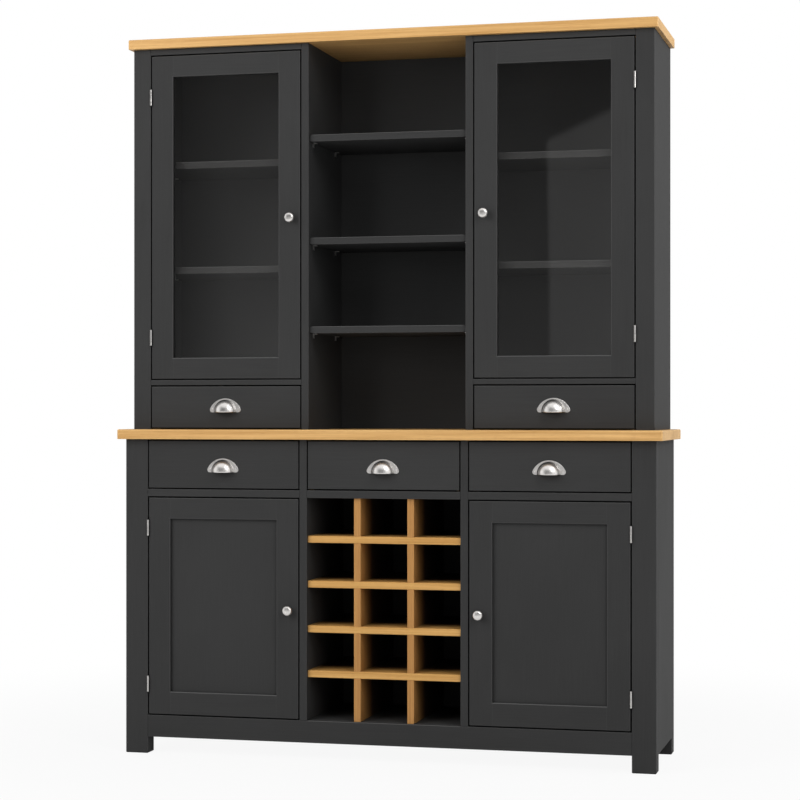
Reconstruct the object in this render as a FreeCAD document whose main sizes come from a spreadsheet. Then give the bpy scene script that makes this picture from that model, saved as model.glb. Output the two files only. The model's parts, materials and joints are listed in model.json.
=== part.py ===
import FreeCAD, Part
import os
import re

import Sketcher

# A painted kitchen dresser: a base cabinet with drawers, cupboards and a wine rack under an oak worktop,
# and on it a hutch with an open middle bay, glazed cupboards and an oak top.
# Millimetres. X runs to the right, Y from front to back, Z up. The origin lies on the floor, in the middle
# of the overall box.

SIZES = {
    # Overall sizes and the two oak boards
    "overall_height": 1900,
    "base_width": 1414,
    "base_depth": 360,
    "hutch_side_set_in": 9,
    "hutch_depth": 325,
    "worktop_height": 860,
    "worktop_thickness": 26,
    "worktop_side_overhang": 18,
    "worktop_front_overhang": 20,
    "top_thickness": 26,
    "top_side_overhang": 11,
    "top_front_overhang": 14,
    "oak_edge_radius": 4,
    # Painted carcass
    "foot_height": 44,
    "foot_chamfer": 2,
    "post_width": 62,
    "post_depth": 45,
    "side_thickness": 20,
    "partition_thickness": 20,
    "frame_thickness": 20,
    "floor_thickness": 18,
    "back_thickness": 8,
    "base_bay_width": 410,
    "hutch_bay_width": 421,
    "hutch_stile_width": 48,
    "bottom_rail_height": 58,
    "drawer_rail_height": 20,
    "drawer_rail_depth": 60,
    "hutch_rail_height": 16,
    "cabinet_floor_thickness": 14,
    # Shelves, their supports and the wine rack
    "shelf_thickness": 18,
    "shelf_end_gap": 0.3,
    "open_shelf_set_back": 10,
    "cabinet_shelf_set_back": 34,
    "base_shelf_set_back": 50,
    "base_shelf_rise": 290,
    "cabinet_shelf_low_rise": 433.5,
    "cabinet_shelf_high_rise": 715,
    "centre_shelf_low_rise": 270.5,
    "centre_shelf_middle_rise": 503.5,
    "centre_shelf_high_rise": 774,
    "support_width": 12,
    "support_height": 12,
    "support_reach": 10,
    "support_thickness": 1.5,
    "support_inset": 30,
    "rack_board_thickness": 18,
    "rack_cell_height": 99,
    "lap_clearance": 0.1,
    # Inset fronts and drawer boxes
    "reveal": 3,
    "front_thickness": 20,
    "lower_drawer_opening": 132,
    "upper_drawer_opening": 117,
    "seat_gap": 0.3,
    "drawer_side_thickness": 15,
    "drawer_back_thickness": 15,
    "drawer_side_drop": 6,
    "drawer_bottom_thickness": 6,
    "drawer_bottom_lift": 10,
    "drawer_groove_depth": 6,
    "groove_clearance": 0.1,
    "runner_width": 14,
    "drawer_guide_height": 40,
    # Doors
    "door_stile_width": 60,
    "door_rail_height": 56,
    "door_bottom_rail_height": 60,
    "panel_thickness": 6,
    "panel_recess": 9,
    "panel_groove_depth": 9,
    "panel_edge_gap": 1,
    "glass_thickness": 4,
    "glass_recess": 9,
    "glass_edge_gap": 1,
    "rebate_width": 9,
    "tenon_thickness": 8,
    "tenon_length": 25,
    "tenon_shoulder": 10,
    "catch_width": 40,
    "catch_depth": 14,
    "catch_height": 18,
    "catch_inset": 80,
    # Lift-off butt hinges
    "hinge_height": 42,
    "hinge_leaf_width": 18,
    "hinge_leaf_thickness": 1.2,
    "knuckle_radius": 2.8,
    "knuckle_gap": 0.3,
    "hinge_pin_radius": 1.3,
    "hinge_pin_clearance": 0.05,
    "lower_hinge_inset": 80,
    "upper_hinge_inset": 110,
    # Knobs
    "knob_inset": 25.5,
    "lower_knob_rise": 283,
    "upper_knob_rise": 422,
    "knob_head_radius": 13.4,
    "knob_neck_radius": 6,
    "knob_neck_length": 14,
    "knob_rim_width": 5,
    "knob_bevel_depth": 5,
    "knob_face_radius": 8.4,
    # Cup pulls
    "pull_lift": 42,
    "pull_width": 86,
    "pull_height": 37,
    "pull_plate_thickness": 2.2,
    "dome_half_width": 26.5,
    "dome_height": 29,
    "dome_wall": 1.7,
}

LAYOUT = {
    # The cup pull: a disc and a round cup, both cut off by the pull's straight lower edge
    "dome_radius": "(dome_half_width ^ 2 + dome_height ^ 2) / (2 * dome_height)",
    "pull_radius": "(pull_width ^ 2 / 4 + pull_height ^ 2) / (2 * pull_height)",
    "pull_drop": "pull_radius - pull_height",
    # Planes from front to back: the cup pulls stand furthest out in front
    "front_face": "(dome_radius - base_depth) / 2",
    "rear_face": "(dome_radius + base_depth) / 2",
    "back_face": "rear_face - back_thickness",
    "hutch_front": "rear_face - hutch_depth",
    # Planes from the middle outwards
    "base_half": "base_width / 2",
    "post_inner": "base_half - post_width",
    "side_inner": "base_half - side_thickness",
    "bay_half": "base_bay_width / 2",
    "bay_outer": "bay_half + partition_thickness",
    "hutch_half": "base_half - hutch_side_set_in",
    "stile_inner": "hutch_half - hutch_stile_width",
    "hutch_side_inner": "hutch_half - side_thickness",
    "hutch_bay_half": "hutch_bay_width / 2",
    "hutch_bay_outer": "hutch_bay_half + partition_thickness",
    # Levels from the floor up
    "floor_top": "foot_height + bottom_rail_height",
    "base_top": "worktop_height - worktop_thickness",
    "drawer_rail_top": "base_top - lower_drawer_opening",
    "drawer_rail_bottom": "drawer_rail_top - drawer_rail_height",
    "cabinet_floor_bottom": "worktop_height + upper_drawer_opening",
    "cabinet_floor_top": "cabinet_floor_bottom + cabinet_floor_thickness",
    "hutch_head": "overall_height - top_thickness",
    "hutch_rail_bottom": "hutch_head - hutch_rail_height",
    # Wine rack
    "rack_front": "front_face + open_shelf_set_back",
    "rack_middle": "(rack_front + back_face) / 2",
    "rack_pitch": "rack_cell_height + rack_board_thickness",
    "rack_cell_width": "(base_bay_width - 2 * rack_board_thickness) / 3",
    # Hinges: the pins stand in front of the doors, in the middle of the gap
    "pin_offset": "knuckle_radius + seat_gap",
    "knuckle_bore": "hinge_pin_radius + hinge_pin_clearance",
    "knuckle_length": "(hinge_height - knuckle_gap) / 2",
}

SIDES = {"left": -1, "right": 1}
RACK_SHELF_COUNT = 4
SAME_PLACE = 1e-6
AXES = {"x": FreeCAD.Vector(1, 0, 0), "y": FreeCAD.Vector(0, 1, 0), "z": FreeCAD.Vector(0, 0, 1)}
SHEET_OF = {name: "Sizes" for name in SIZES} | {name: "Layout" for name in LAYOUT}

doc = FreeCAD.newDocument("kitchen_dresser")
nodes = []


def formula(text):
    """The text with each named size pointed at the sheet that holds it."""
    return re.sub(r"[a-z]\w*", lambda word: f"{SHEET_OF[word.group()]}.{word.group()}", str(text))


def value(text):
    """The number that a formula stands for now."""
    return float(sizes.evalExpression(formula(text)))


def fill_sheet(name, rows):
    """A sheet with one named cell per row."""
    sheet = doc.addObject("Spreadsheet::Sheet", name)
    for row, (alias, content) in enumerate(rows.items(), start=1):
        sheet.set(f"A{row}", alias)
        sheet.set(f"B{row}", content)
        sheet.setAlias(f"B{row}", alias)
    doc.recompute()
    return sheet


def place(piece, x=None, y=None, z=None):
    """Ties the piece's position to formulas."""
    for axis, text in zip("xyz", (x, y, z)):
        if text is not None:
            piece.setExpression(f"Placement.Base.{axis}", formula(text))
    return piece


def span(side, inner, outer):
    """The range along X of what runs from inner to outer on one side of the middle."""
    if side > 0:
        return inner, outer
    return f"-({outer})", f"-({inner})"


def board(name, x, y, z):
    """A straight board between two planes along each axis."""
    box = doc.addObject("Part::Box", name)
    for size, (low, high) in zip(("Length", "Width", "Height"), (x, y, z)):
        box.setExpression(size, formula(f"({high}) - ({low})"))
    return place(box, x[0], y[0], z[0])


def rod(name, axis, start, length, radius):
    """A round rod that runs from its start along one axis."""
    cylinder = doc.addObject("Part::Cylinder", name)
    cylinder.Placement.Rotation = FreeCAD.Rotation(AXES["z"], AXES[axis])
    cylinder.setExpression("Radius", formula(radius))
    cylinder.setExpression("Height", formula(length))
    return place(cylinder, *start)


def fused(name, pieces):
    """One solid made of several."""
    fuse = doc.addObject("Part::MultiFuse", name)
    fuse.Shapes = pieces
    fuse.Refine = True
    return fuse


def shared(name, pieces):
    """What all the pieces have in common."""
    common = doc.addObject("Part::MultiCommon", name)
    common.Shapes = pieces
    return common


def cut(name, base, tools):
    """The base with every tool taken out of it."""
    result = doc.addObject("Part::Cut", name)
    result.Base = base
    result.Tool = tools[0] if len(tools) == 1 else fused(f"{name}_tools", tools)
    return result


def node(label, pieces):
    """A named sub-part: one piece, or a group of separate ones."""
    if len(pieces) == 1:
        part = pieces[0]
    else:
        part = doc.addObject("Part::Compound", f"{label}_group")
        part.Links = pieces
    part.Label = label
    nodes.append(part)


def profile(body, name, plane_role, corners):
    """A closed sketch of straight lines through the corners, each tied to formulas."""
    sketch = body.newObject("Sketcher::SketchObject", name)
    plane = next(item for item in body.Origin.OriginFeatures if item.Role == plane_role)
    sketch.AttachmentSupport = (plane, [""])
    sketch.MapMode = "FlatFace"

    points = [FreeCAD.Vector(value(x), value(y), 0) for x, y in corners]
    lines = [sketch.addGeometry(Part.LineSegment(start, end))
             for start, end in zip(points, [*points[1:], points[0]])]
    for number, line in enumerate(lines):
        sketch.addConstraint(Sketcher.Constraint("Coincident", lines[number - 1], 2, line, 1))
        for kind, axis, text in zip(("DistanceX", "DistanceY"), (-2, -1), corners[number]):
            if text == "0":
                sketch.addConstraint(Sketcher.Constraint("PointOnObject", line, 1, axis))
            else:
                index = sketch.addConstraint(Sketcher.Constraint(kind, -1, 1, line, 1, value(text)))
                sketch.setExpression(f"Constraints[{index}]", formula(text))
    return sketch


def padded_block(name, x, y, z):
    """A body with one rectangular pad, ready for eased edges."""
    body = doc.addObject("PartDesign::Body", name)
    corners = [(x[0], y[0]), (x[1], y[0]), (x[1], y[1]), (x[0], y[1])]
    sketch = profile(body, f"{name}_outline", "XY_Plane", corners)
    pad = body.newObject("PartDesign::Pad", f"{name}_pad")
    pad.Profile = sketch
    pad.setExpression("Length", formula(f"({z[1]}) - ({z[0]})"))
    place(body, z=z[0])
    doc.recompute()
    return body, pad


def ease_edges(body, kind, size, pad, wanted):
    """Rounds or bevels the pad's edges whose middle passes the test."""
    feature = body.newObject(f"PartDesign::{kind}", f"{body.Name}_{kind.lower()}")
    names = [f"Edge{number}" for number, edge in enumerate(pad.Shape.Edges, start=1)
             if wanted(edge.BoundBox.Center)]
    feature.Base = (pad, names)
    feature.setExpression("Radius" if kind == "Fillet" else "Size", formula(size))
    return body


def oak_board(name, x, y, z):
    """A board whose upper edges are rounded at the front and both ends."""
    body, pad = padded_block(name, x, y, z)
    box = pad.Shape.BoundBox
    return ease_edges(body, "Fillet", "oak_edge_radius", pad,
                      lambda middle: middle.z > box.ZMax - SAME_PLACE and middle.y < box.YMax - SAME_PLACE)


def build_base():
    """Posts, panels, rails, partitions, floor, back and worktop of the base cabinet."""
    inside = ("front_face + frame_thickness", "back_face")
    front_post = ("front_face", "front_face + post_depth")
    rear_post = ("rear_face - post_depth", "rear_face")
    posts, panels, rails, partitions, notches, shelves = [], [], [], [], [], []

    for side_name, side in SIDES.items():
        post_width = span(side, "post_inner", "base_half")
        for row, post_depth in (("front", front_post), ("rear", rear_post)):
            body, pad = padded_block(f"{side_name}_{row}_post", post_width, post_depth, ("0", "base_top"))
            underside = pad.Shape.BoundBox.ZMin
            posts.append(ease_edges(body, "Chamfer", "foot_chamfer", pad,
                                    lambda middle: abs(middle.z - underside) < SAME_PLACE))
            notches.append(board(f"{side_name}_{row}_notch", post_width, post_depth, ("0", "base_top")))
        panels.append(board(f"{side_name}_base_side", span(side, "side_inner", "base_half"),
                            (front_post[1], rear_post[0]), ("foot_height", "base_top")))
        rails.append(board(f"{side_name}_drawer_rail", span(side, "bay_outer", "post_inner"),
                           ("front_face", "front_face + drawer_rail_depth"),
                           ("drawer_rail_bottom", "drawer_rail_top")))
        partitions.append(board(f"{side_name}_base_partition", span(side, "bay_half", "bay_outer"),
                                ("front_face", "back_face"), ("floor_top", "base_top")))
        shelf = board(f"{side_name}_base_shelf_blank",
                      span(side, "bay_outer + shelf_end_gap", "side_inner - shelf_end_gap"),
                      ("front_face + base_shelf_set_back", "back_face"),
                      ("floor_top + base_shelf_rise - shelf_thickness", "floor_top + base_shelf_rise"))
        corner = board(f"{side_name}_base_shelf_notch",
                       span(side, "post_inner - shelf_end_gap", "side_inner"),
                       (f"{rear_post[0]} - shelf_end_gap", "back_face"),
                       ("floor_top", "base_top"))
        shelves.append(cut(f"{side_name}_base_shelf", shelf, [corner]))

    node("base_posts", posts)
    node("base_side_panels", panels)
    node("base_drawer_rails", rails)
    node("base_partitions", partitions)
    node("base_shelves", shelves)
    node("base_bottom_rail", [board("bottom_rail", ("-post_inner", "post_inner"),
                                    ("front_face", inside[0]), ("foot_height", "floor_top"))])
    floor = board("floor_blank", ("-side_inner", "side_inner"), inside,
                  ("floor_top - floor_thickness", "floor_top"))
    node("base_floor", [cut("floor", floor, notches)])
    node("base_back", [board("back_of_base", ("-post_inner", "post_inner"),
                             ("back_face", "rear_face"), ("foot_height", "base_top"))])
    node("worktop", [oak_board("worktop_board",
                               ("-base_half - worktop_side_overhang", "base_half + worktop_side_overhang"),
                               ("front_face - worktop_front_overhang", "rear_face"),
                               ("base_top", "worktop_height"))])


def build_rack():
    """Oak shelves and dividers that are halved into each other: the shelves run through in front."""
    depth = ("rack_front", "back_face")
    width = ("-bay_half", "bay_half")
    shelf_levels = []
    for number in range(RACK_SHELF_COUNT):
        top = f"drawer_rail_bottom - rack_cell_height - {number} * rack_pitch"
        shelf_levels.append((f"{top} - rack_board_thickness", top))
    divider_places = [span(side, "rack_cell_width / 2", "rack_cell_width / 2 + rack_board_thickness")
                      for side in SIDES.values()]

    shelves = []
    for number, (bottom, top) in enumerate(shelf_levels):
        slots = [board(f"rack_shelf_slot_{number}_{index}",
                       (f"{low} - lap_clearance", f"{high} + lap_clearance"),
                       ("rack_middle", "back_face"), (bottom, top))
                 for index, (low, high) in enumerate(divider_places)]
        blank = board(f"rack_shelf_blank_{number}", width, depth, (bottom, top))
        shelves.append(cut(f"rack_shelf_{number}", blank, slots))

    dividers = []
    for index, place_in_bay in enumerate(divider_places):
        slots = [board(f"rack_divider_slot_{index}_{number}", place_in_bay,
                       ("rack_front", "rack_middle"),
                       (f"{bottom} - lap_clearance", f"{top} + lap_clearance"))
                 for number, (bottom, top) in enumerate(shelf_levels)]
        blank = board(f"rack_divider_blank_{index}", place_in_bay, depth, ("floor_top", "drawer_rail_bottom"))
        dividers.append(cut(f"rack_divider_{index}", blank, slots))

    node("rack_top", [board("rack_top_board", width, ("front_face", "back_face"),
                            ("drawer_rail_bottom", "drawer_rail_top"))])
    node("rack_shelves", shelves)
    node("rack_dividers", dividers)


def build_hutch():
    """Sides, stiles, partitions, rails, floors, back and top of the hutch."""
    inside = ("hutch_front + frame_thickness", "back_face")
    frame_depth = ("hutch_front", inside[0])
    full_height = ("worktop_height", "hutch_head")
    sides, stiles, partitions, rails, floors = [], [], [], [], []

    for side_name, side in SIDES.items():
        stile_width = span(side, "stile_inner", "hutch_half")
        sides.append(board(f"{side_name}_hutch_side", span(side, "hutch_side_inner", "hutch_half"),
                           (inside[0], "rear_face"), full_height))
        stiles.append(board(f"{side_name}_hutch_stile", stile_width, frame_depth, full_height))
        partitions.append(board(f"{side_name}_hutch_partition",
                                span(side, "hutch_bay_half", "hutch_bay_outer"),
                                ("hutch_front", "back_face"), full_height))
        rails.append(board(f"{side_name}_hutch_rail", span(side, "hutch_bay_outer", "stile_inner"),
                           frame_depth, ("hutch_rail_bottom", "hutch_head")))
        floor = board(f"{side_name}_cabinet_floor_blank", span(side, "hutch_bay_outer", "hutch_side_inner"),
                      ("hutch_front", "back_face"), ("cabinet_floor_bottom", "cabinet_floor_top"))
        notch = board(f"{side_name}_cabinet_floor_notch", stile_width, frame_depth, full_height)
        floors.append(cut(f"{side_name}_cabinet_floor", floor, [notch]))

    node("hutch_sides", sides)
    node("hutch_stiles", stiles)
    node("hutch_partitions", partitions)
    node("hutch_top_rails", rails)
    node("hutch_cabinet_floors", floors)
    node("hutch_back", [board("back_of_hutch", ("-hutch_side_inner", "hutch_side_inner"),
                              ("back_face", "rear_face"), full_height)])
    node("hutch_top", [oak_board("top_board",
                                 ("-hutch_half - top_side_overhang", "hutch_half + top_side_overhang"),
                                 ("hutch_front - top_front_overhang", "rear_face"),
                                 ("hutch_head", "overall_height"))])


def shelf_support(name, wall, into_bay, y, underside):
    """An angle under a shelf end: one flange on the wall, the other under the shelf."""
    def out_to(distance):
        far = f"{wall} + {distance}" if into_bay > 0 else f"{wall} - {distance}"
        return (wall, far) if into_bay > 0 else (far, wall)

    depth = (y, f"{y} + support_width")
    flange = board(f"{name}_flange", out_to("support_thickness"), depth,
                   (f"{underside} - support_height", underside))
    ledge = board(f"{name}_ledge", out_to("support_reach"), depth,
                  (f"{underside} - support_thickness", underside))
    return fused(name, [flange, ledge])


def build_shelves():
    """Loose shelves of the hutch, and the supports under every loose shelf."""
    supports, centre_shelves, cabinet_shelves = [], [], []

    def carry(name, walls, front, underside):
        """Four supports under one shelf, two on each wall."""
        places = (f"{front} + support_inset", "rear_face - post_depth - support_inset")
        for wall, into_bay in zip(walls, (1, -1)):
            for row, y in enumerate(places):
                supports.append(shelf_support(f"{name}_support_{len(supports)}_{row}",
                                              wall, into_bay, y, underside))

    def loose_shelf(name, walls, set_back, rise):
        """A shelf between two walls of the hutch, at its height over the worktop."""
        front = f"hutch_front + {set_back}"
        top = f"worktop_height + {rise}"
        underside = f"{top} - shelf_thickness"
        carry(name, walls, front, underside)
        return board(name, (f"{walls[0]} + shelf_end_gap", f"{walls[1]} - shelf_end_gap"),
                     (front, "back_face"), (underside, top))

    for level in ("low", "middle", "high"):
        centre_shelves.append(loose_shelf(f"{level}_centre_shelf", ("-hutch_bay_half", "hutch_bay_half"),
                                          "open_shelf_set_back", f"centre_shelf_{level}_rise"))
    for side_name, side in SIDES.items():
        for level in ("low", "high"):
            cabinet_shelves.append(loose_shelf(f"{side_name}_{level}_cabinet_shelf",
                                               span(side, "hutch_bay_outer", "hutch_side_inner"),
                                               "cabinet_shelf_set_back", f"cabinet_shelf_{level}_rise"))
        carry(f"{side_name}_base_shelf", span(side, "bay_outer", "side_inner"),
              "front_face + base_shelf_set_back", "floor_top + base_shelf_rise - shelf_thickness")

    node("centre_shelves", centre_shelves)
    node("cabinet_shelves", cabinet_shelves)
    node("shelf_supports", supports)


def crossed_rods(name, centre, radius):
    """A domed form: what three rods that cross in the centre have in common."""
    rods = []
    for number, axis in enumerate(AXES):
        start = list(centre)
        start[number] = f"{centre[number]} - 2 * ({radius})"
        rods.append(rod(f"{name}_along_{axis}", axis, start, f"4 * ({radius})", radius))
    return shared(name, rods)


def cup_pull(name, x, front, z):
    """A half-round plate, and a thin cup on it that is open below and behind."""
    plate = rod(f"{name}_plate", "y", (x, f"{front} - pull_plate_thickness", f"{z} - pull_drop"),
                "pull_plate_thickness", "pull_radius")
    centre = (x, front, f"{z} + dome_height - dome_radius")
    dome = crossed_rods(f"{name}_dome", centre, "dome_radius")
    cavity = crossed_rods(f"{name}_cavity", centre, "dome_radius - dome_wall")
    kept = board(f"{name}_kept", (f"{x} - pull_width", f"{x} + pull_width"),
                 (f"{front} - pull_width", front), (z, f"{z} + pull_width"))
    half = shared(f"{name}_half", [fused(f"{name}_whole", [plate, dome]), kept])
    node(name, [cut(f"{name}_cup", half, [cavity])])


def build_drawer(name, opening, level, plane):
    """A drawer in the opening: front, box and cup pull. The box ends just short of the back panel."""
    left, right = f"{opening[0]} + reveal", f"{opening[1]} - reveal"
    low, high = f"{level[0]} + reveal", f"{level[1]} - reveal"
    behind = f"{plane} + front_thickness"
    end = "back_face - seat_gap"
    inner_left, inner_right = f"{left} + drawer_side_thickness", f"{right} - drawer_side_thickness"
    bottom_low = f"{low} + drawer_bottom_lift"
    bottom_high = f"{bottom_low} + drawer_bottom_thickness"
    groove = (f"{bottom_low} - groove_clearance", f"{bottom_high} + groove_clearance")
    box_top = f"{high} - drawer_side_drop"

    face = board(f"{name}_face", (left, right), (plane, behind), (low, high))
    face_groove = board(f"{name}_face_groove",
                        (f"{inner_left} - drawer_groove_depth", f"{inner_right} + drawer_groove_depth"),
                        (f"{behind} - drawer_groove_depth", behind), groove)
    node(f"{name}_front", [cut(f"{name}_grooved_face", face, [face_groove])])

    sides = []
    for hand, (reach, groove_reach) in {
        "left": ((left, inner_left), (f"{inner_left} - drawer_groove_depth", inner_left)),
        "right": ((inner_right, right), (inner_right, f"{inner_right} + drawer_groove_depth")),
    }.items():
        side = board(f"{name}_{hand}_side_blank", reach, (behind, end), (low, box_top))
        side_groove = board(f"{name}_{hand}_side_groove", groove_reach, (behind, end), groove)
        sides.append(cut(f"{name}_{hand}_side", side, [side_groove]))
    back = board(f"{name}_back", (inner_left, inner_right), (f"{end} - drawer_back_thickness", end),
                 (bottom_high, box_top))
    tongue = "drawer_groove_depth - groove_clearance"
    bottom = board(f"{name}_bottom", (f"{inner_left} - ({tongue})", f"{inner_right} + {tongue}"),
                   (f"{behind} - ({tongue})", end), (bottom_low, bottom_high))
    node(f"{name}_box", [*sides, back, bottom])
    cup_pull(f"{name}_pull", f"(({opening[0]}) + ({opening[1]})) / 2", plane, f"{low} + pull_lift")


def build_drawers():
    """All drawers, and the strips and guides that they run on."""
    runners = []

    def runner_pair(name, opening, depth, level):
        """A strip at each side of the opening, its top just under the drawer's sides."""
        for hand, reach in {"left": (opening[0], f"{opening[0]} + runner_width"),
                            "right": (f"{opening[1]} - runner_width", opening[1])}.items():
            runners.append(board(f"{name}_{hand}_runner", reach, depth, level))

    lower_level = ("drawer_rail_top", "base_top")
    upper_level = ("worktop_height", "cabinet_floor_bottom")
    lower_runner_top = "drawer_rail_top + reveal - seat_gap"
    upper_depth = ("hutch_front + frame_thickness", "back_face")
    for side_name, side in SIDES.items():
        lower_opening = span(side, "bay_outer", "post_inner")
        upper_opening = span(side, "hutch_bay_outer", "stile_inner")
        build_drawer(f"lower_{side_name}_drawer", lower_opening, lower_level, "front_face")
        build_drawer(f"upper_{side_name}_drawer", upper_opening, upper_level, "hutch_front")
        runner_pair(f"lower_{side_name}", lower_opening, ("front_face + drawer_rail_depth", "back_face"),
                    ("drawer_rail_bottom", lower_runner_top))
        runner_pair(f"upper_{side_name}", upper_opening, upper_depth,
                    ("worktop_height", "worktop_height + reveal - seat_gap"))
        runners.append(board(f"upper_{side_name}_guide", span(side, "stile_inner", "hutch_side_inner"),
                             upper_depth, ("worktop_height", "worktop_height + drawer_guide_height")))

    centre_opening = ("-bay_half", "bay_half")
    build_drawer("lower_centre_drawer", centre_opening, lower_level, "front_face")
    runner_pair("lower_centre", centre_opening, ("front_face + frame_thickness", "back_face"),
                ("drawer_rail_top", lower_runner_top))
    node("drawer_runners", runners)


def panel_door_frame(name, side, inner, outer, low, high, plane):
    """Stiles and rails with a groove all round, stub tongues on the rails, and the panel in the groove."""
    inner_edge, outer_edge = f"{inner} + door_stile_width", f"{outer} - door_stile_width"
    panel_low, panel_high = f"{low} + door_bottom_rail_height", f"{high} - door_rail_height"
    depth = (plane, f"{plane} + front_thickness")
    groove = (f"{plane} + panel_recess", f"{plane} + panel_recess + panel_thickness")
    tongue = (f"{groove[0]} + groove_clearance", f"{groove[1]} - groove_clearance")
    reach = span(side, f"{inner_edge} - panel_groove_depth", f"{outer_edge} + panel_groove_depth")
    hollow = board(f"{name}_groove", reach, groove,
                   (f"{panel_low} - panel_groove_depth", f"{panel_high} + panel_groove_depth"))

    pieces = []
    for stile_name, edges in {"inner": (inner, inner_edge), "outer": (outer_edge, outer)}.items():
        stile = board(f"{name}_{stile_name}_stile_blank", span(side, *edges), depth, (low, high))
        slot = board(f"{name}_{stile_name}_stile_groove", reach, groove, (low, high))
        pieces.append(cut(f"{name}_{stile_name}_stile", stile, [slot]))
    tongue_reach = span(side, f"{inner_edge} - panel_groove_depth + groove_clearance",
                        f"{outer_edge} + panel_groove_depth - groove_clearance")
    for rail_name, level in {"bottom": (low, panel_low), "top": (panel_high, high)}.items():
        core = board(f"{name}_{rail_name}_rail_core", span(side, inner_edge, outer_edge), depth, level)
        ends = board(f"{name}_{rail_name}_rail_tongue", tongue_reach, tongue, level)
        whole = fused(f"{name}_{rail_name}_rail_blank", [core, ends])
        pieces.append(cut(f"{name}_{rail_name}_rail", whole, [hollow]))
    node(f"{name}_frame", pieces)

    edge = "panel_groove_depth - panel_edge_gap"
    node(f"{name}_panel", [board(f"{name}_panel_board",
                                 span(side, f"{inner_edge} - ({edge})", f"{outer_edge} + {edge}"), tongue,
                                 (f"{panel_low} - ({edge})", f"{panel_high} + {edge}"))])


def glass_door_frame(name, side, inner, outer, low, high, plane):
    """Stiles and rails with tenons and a rebate behind, the pane in the rebate and beads that hold it."""
    inner_edge, outer_edge = f"{inner} + door_stile_width", f"{outer} - door_stile_width"
    pane_low, pane_high = f"{low} + door_rail_height", f"{high} - door_rail_height"
    depth = (plane, f"{plane} + front_thickness")
    rebate_width = span(side, f"{inner_edge} - rebate_width", f"{outer_edge} + rebate_width")
    rebate_height = (f"{pane_low} - rebate_width", f"{pane_high} + rebate_width")
    glass = (f"{plane} + glass_recess", f"{plane} + glass_recess + glass_thickness")
    rebate = board(f"{name}_rebate", rebate_width, (glass[0], depth[1]), rebate_height)
    middle = f"{plane} + front_thickness / 2"
    rails = {"bottom": (low, pane_low), "top": (pane_high, high)}

    def tenons(label, clearance):
        """The tongues of both rails, or with a clearance the mortises that they go into."""
        thickness = f"tenon_thickness / 2 + {clearance}"
        length = f"tenon_length + {clearance}"
        return {rail_name: board(f"{name}_{rail_name}_{label}",
                                 span(side, f"{inner_edge} - ({length})", f"{outer_edge} + {length}"),
                                 (f"{middle} - ({thickness})", f"{middle} + {thickness}"),
                                 (f"{bottom} + tenon_shoulder - {clearance}",
                                  f"{top} - tenon_shoulder + {clearance}"))
                for rail_name, (bottom, top) in rails.items()}

    mortises = tenons("mortise", "groove_clearance")
    tongues = tenons("tenon", "0")
    pieces = []
    for stile_name, edges in {"inner": (inner, inner_edge), "outer": (outer_edge, outer)}.items():
        stile = board(f"{name}_{stile_name}_stile_blank", span(side, *edges), depth, (low, high))
        pieces.append(cut(f"{name}_{stile_name}_stile", stile, [rebate, *mortises.values()]))
    for rail_name, level in rails.items():
        core = board(f"{name}_{rail_name}_rail_core", span(side, inner_edge, outer_edge), depth, level)
        whole = fused(f"{name}_{rail_name}_rail_blank", [core, tongues[rail_name]])
        pieces.append(cut(f"{name}_{rail_name}_rail", whole, [rebate]))
    node(f"{name}_frame", pieces)

    edge = "rebate_width - glass_edge_gap"
    node(f"{name}_glass", [board(f"{name}_pane",
                                 span(side, f"{inner_edge} - ({edge})", f"{outer_edge} + {edge}"), glass,
                                 (f"{pane_low} - ({edge})", f"{pane_high} + {edge}"))])
    bead_depth = (glass[1], depth[1])
    beads = []
    for bead_name, edges in {"inner": (f"{inner_edge} - rebate_width", inner_edge),
                             "outer": (outer_edge, f"{outer_edge} + rebate_width")}.items():
        beads.append(board(f"{name}_{bead_name}_bead", span(side, *edges), bead_depth, rebate_height))
    for bead_name, level in {"bottom": (rebate_height[0], pane_low),
                             "top": (pane_high, rebate_height[1])}.items():
        beads.append(board(f"{name}_{bead_name}_bead", span(side, inner_edge, outer_edge), bead_depth, level))
    node(f"{name}_beads", beads)


def knob(name, x, front, z):
    """A turned knob: a neck, and a head with a straight rim and a bevel round its face."""
    body = doc.addObject("PartDesign::Body", f"{name}_turning")
    rim_front = "-knob_neck_length - knob_rim_width"
    face = f"{rim_front} - knob_bevel_depth"
    turning = body.newObject("PartDesign::Revolution", f"{name}_solid")
    turning.Profile = profile(body, f"{name}_profile", "YZ_Plane", [
        ("0", "0"), ("0", "knob_neck_radius"), ("-knob_neck_length", "knob_neck_radius"),
        ("-knob_neck_length", "knob_head_radius"), (rim_front, "knob_head_radius"),
        (face, "knob_face_radius"), (face, "0")])
    turning.ReferenceAxis = (turning.Profile[0], ["H_Axis"])
    node(name, [place(body, x, front, z)])


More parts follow.
